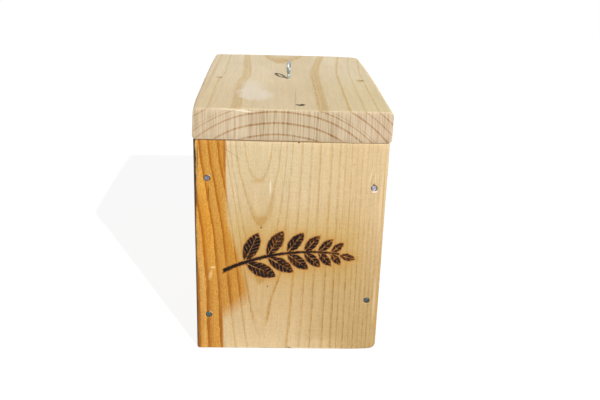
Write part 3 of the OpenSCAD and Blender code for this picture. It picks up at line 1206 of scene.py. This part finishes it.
class NESTBOX_OT_roof(bpy.types.Operator):
    """Saws the flat roof, cups it a little and rubs down its corner over the entrance"""

    bl_idname = "nestbox.roof"
    bl_label = "Roof"

    def execute(self, context):
        wood = context.scene.nest_box_wood
        low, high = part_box("roof")
        left, back = low.x, low.y
        right, front, top = high
        piece = board("roof", Y, wood.roof_ease, corner=((X, 1), (Y, 1), 7 * MM))
        only(piece)
        enter("EDIT")
        # The left edge cups up, both corners over the entrance and the one at the back left are worn
        drag(piece, lambda v: v.co.x < left + 0.8 * MM and v.co.y < 20 * MM,
             (0, 0, wood.roof_lift), 95 * MM, "SMOOTH")
        drag(piece, lambda v: v.co.x > right - 4 * MM and v.co.y > front - 5 * MM, (-3 * MM, 0, 0), 130 * MM)
        drag(piece, lambda v: v.co.x < left + 4 * MM and v.co.y > front - 4 * MM,
             (0.8 * MM, -3.2 * MM, 0), 70 * MM)
        drag(piece, lambda v: v.co.x < left + 1.2 * MM and v.co.y < back + 3 * MM and v.co.z > top - 3.5 * MM,
             (1.3 * MM, 0, -0.8 * MM), 45 * MM)
        enter("OBJECT")
        cut_away(piece, nail_rooms("roof") + [eye_bore()])
        # Pale satin pine with a few broad bands, and a sawn end that shows the rings as nested arcs
        material = pine(
            "pine_planed_roof",
            (X, Z, Y),
            pith=((-1, -10.8, 104), (209, 0.2, 109), SOFT),
            rings=(59, 66, 74, 82.4, 90.5, 95.2, 96.9, 103.8, 109.3, 115, 121, 127),
            seed=13,
            body=roof_body,
            end_tone=("#dfccad", "#bba180", "#cfb08c"),
            late_from=0.76,
            late_tint=wood.roof_late,
            drift=(1.6, 0.6),
            band=(95, 96.8, 0.5),
            lean=roof_lean,
            speck=0.02,
            extra=roof_marks,
        )
        finish_piece(piece, ["roof"], material)
        return {"FINISHED"}


# Steel finishes of the nails: bright, dull and grime colours, and roughness
NAIL_FINISHES = {
    "struck": ("#e6e3ee", "#5c5767", "#41363f", 0.36),
    "worn": ("#8f9095", "#66666d", "#56505a", 0.42),
    "dark_green": ("#5f716f", "#465856", "#3c4746", 0.5),
    "dark": ("#62666a", "#494d50", "#3f4041", 0.48),
    # The rusty finish is near black: rust, and painted shade of the deep hole that the nail over the back
    # wall sits in
    "rust_and_shade": ("#332a22", "#211a14", "#17110c", 0.75),
    "sunk": ("#a89c88", "#857860", "#5f5340", 0.55),
}
# Finishes of the nails that are looked at closely, and those that the other nails take in turn
NAIL_FINISH = {
    "back_wall_nail_top_left": "worn",
    "back_wall_nail_top_right": "struck",
    "back_wall_nail_bottom_left": "dark_green",
    "back_wall_nail_bottom_right": "dark",
    # Its near-black finish is rust and painted shade of its deep hole
    "roof_nail_back": "rust_and_shade",
    "roof_nail_left": "sunk",
    "roof_nail_right": "sunk",
    "roof_nail_front": "sunk",
}
PLAIN_FINISHES = ("worn", "dark", "struck", "worn")


class NESTBOX_OT_nails(bpy.types.Operator):
    """Drives the sixteen nails, each copied from one, and gives each its own wear, one of them with painted
    shade
    """

    bl_idname = "nestbox.nails"
    bl_label = "Nails"

    def execute(self, context):
        # Zinc-plated steel: small hard glints, from freshly struck and bright to brown with rust; the rusty
        # finish is also painted shade of a deep nail hole
        finishes = {
            name: zinc_steel("zinc_steel_" + name, *look, seed)
            for seed, (name, look) in enumerate(NAIL_FINISHES.items(), 1)
        }
        template = model_nail()
        apply_displace(template, 1.6 * MM, 0.12 * MM)
        # Each is turned about its own length, so that no two heads show the same dents
        for number, name in enumerate(NAILS):
            place, way = nail_place(name)
            if name == "roof_nail_left":
                # Here the roof has lifted by less than at its edge
                place.z += context.scene.nest_box_wood.roof_lift * 0.75
            nail = set_down(template, "steel_" + name, place, way, turn=number * 2.4)
            finish = NAIL_FINISH.get(name, PLAIN_FINISHES[number % len(PLAIN_FINISHES)])
            finish_piece(nail, [name], finishes[finish], crease=35)
        bpy.data.objects.remove(template)
        return {"FINISHED"}


class NESTBOX_OT_screw_eye(bpy.types.Operator):
    """Bends the screw eye from one length of wire and screws it into the roof"""

    bl_idname = "nestbox.screw_eye"
    bl_label = "Screw Eye"

    def execute(self, context):
        piece = bend_eye()
        # Bright zinc plate: a cool, soft shine along the wire
        material = zinc_steel("zinc_steel_bright_wire", "#b9c2c3", "#9aa3a5", "#7f8585", 0.5, 8)
        finish_piece(piece, ["screw_eye"], material, crease=50)
        return {"FINISHED"}


# The camera's place, and its turn about X, Y and Z in degrees
CAMERA_PLACE = (-0.0143, -0.6231, 0.3218)
CAMERA_TURN = (69.196, -1.737, -1.723)
# Lamps: kind, place, power, and the sun's angle or the panel's width
LAMPS = {
    "key": ("SUN", (0.39, -0.76, 0.52), None, 0.014),
    "top": ("AREA", (0.1, 0, 1.6), 0.8, 1.6),
    "left": ("AREA", (-1.7, 0.5, 0.3), 12, 1.8),
    "behind": ("AREA", (0.5, 1.8, 0.3), 13, 1.8),
}


class NESTBOX_OT_stage(bpy.types.Operator):
    """Sets up the camera, the lamps, the room light and the paper floor"""

    bl_idname = "nestbox.stage"
    bl_label = "Stage"

    def execute(self, context):
        stage = context.scene.nest_box_stage
        clear_selection()
        turn = [math.radians(angle) for angle in CAMERA_TURN]
        bpy.ops.object.camera_add(location=CAMERA_PLACE, rotation=turn)
        camera = bpy.context.object
        camera.name = "camera"
        camera.data.lens = stage.lens
        camera.data.sensor_width = 36
        camera.data.clip_start = 0.01
        context.scene.camera = camera
        for name, (kind, place, power, spread) in LAMPS.items():
            bpy.ops.object.light_add(type=kind, location=place)
            lamp = bpy.context.object
            lamp.name = name + "_light"
            if kind == "SUN":
                away = Vector(place)
                lamp.data.energy = stage.sun
                lamp.data.angle = spread
            else:
                away = Vector(place) - Vector((0, 0, 0.1))
                lamp.data.energy = power
                lamp.data.shape = "RECTANGLE"
                lamp.data.size = spread
                lamp.data.size_y = 0.5
                lamp.visible_camera = False
                lamp.visible_glossy = False
            lamp.rotation_euler = away.to_track_quat("Z", "Y").to_euler()
        room = bpy.data.worlds.new("studio")
        context.scene.world = room
        room.use_nodes = True
        tree = room.node_tree
        tree.nodes.clear()
        strength = product((seen_plainly(tree), 0, 1, stage.fill, 1))
        add("OutputWorld", add("Background", WHITE, strength))
        bpy.ops.mesh.primitive_plane_add(size=6, location=(0, 0, -0.2 * MM))
        floor = bpy.context.object
        floor.name = "paper_floor"
        floor.data.materials.append(studio_floor())
        context.scene.view_settings.view_transform = "Standard"
        clear_selection()
        return {"FINISHED"}


class NESTBOX_PT_panel(bpy.types.Panel):
    """Lists the steps in which the nest box is modelled."""

    bl_label = "Nest Box"
    bl_idname = "NESTBOX_PT_panel"
    bl_space_type = "VIEW_3D"
    bl_region_type = "UI"
    bl_category = "Nest Box"

    def draw(self, context):
        for operator in STEPS:
            self.layout.operator(operator.bl_idname)
        for group in GROUPS:
            settings = getattr(context.scene, group)
            box = self.layout.box()
            for name in settings.__annotations__:
                box.prop(settings, name)


GROUPS = {
    "nest_box_wood": WoodSettings,
    "nest_box_mark": MarkSettings,
    "nest_box_stage": StageSettings,
}
STEPS = (
    NESTBOX_OT_stage,
    NESTBOX_OT_back_wall,
    NESTBOX_OT_front_wall,
    NESTBOX_OT_side_walls,
    NESTBOX_OT_floor,
    NESTBOX_OT_roof,
    NESTBOX_OT_nails,
    NESTBOX_OT_screw_eye,
)


def register():
    """Adds the settings, the steps and the panel to Blender."""
    for made in (*GROUPS.values(), *STEPS, NESTBOX_PT_panel):
        bpy.utils.register_class(made)
    for name, group in GROUPS.items():
        setattr(bpy.types.Scene, name, PointerProperty(type=group))


def unregister():
    """Takes the panel, the steps and the settings out of Blender."""
    for name in GROUPS:
        delattr(bpy.types.Scene, name)
    for made in reversed((*GROUPS.values(), *STEPS, NESTBOX_PT_panel)):
        bpy.utils.unregister_class(made)


def main():
    """Models the whole nest box."""
    register()
    for step in STEPS:
        area, name = step.bl_idname.split(".")
        getattr(getattr(bpy.ops, area), name)()


if __name__ == "__main__":
    main()
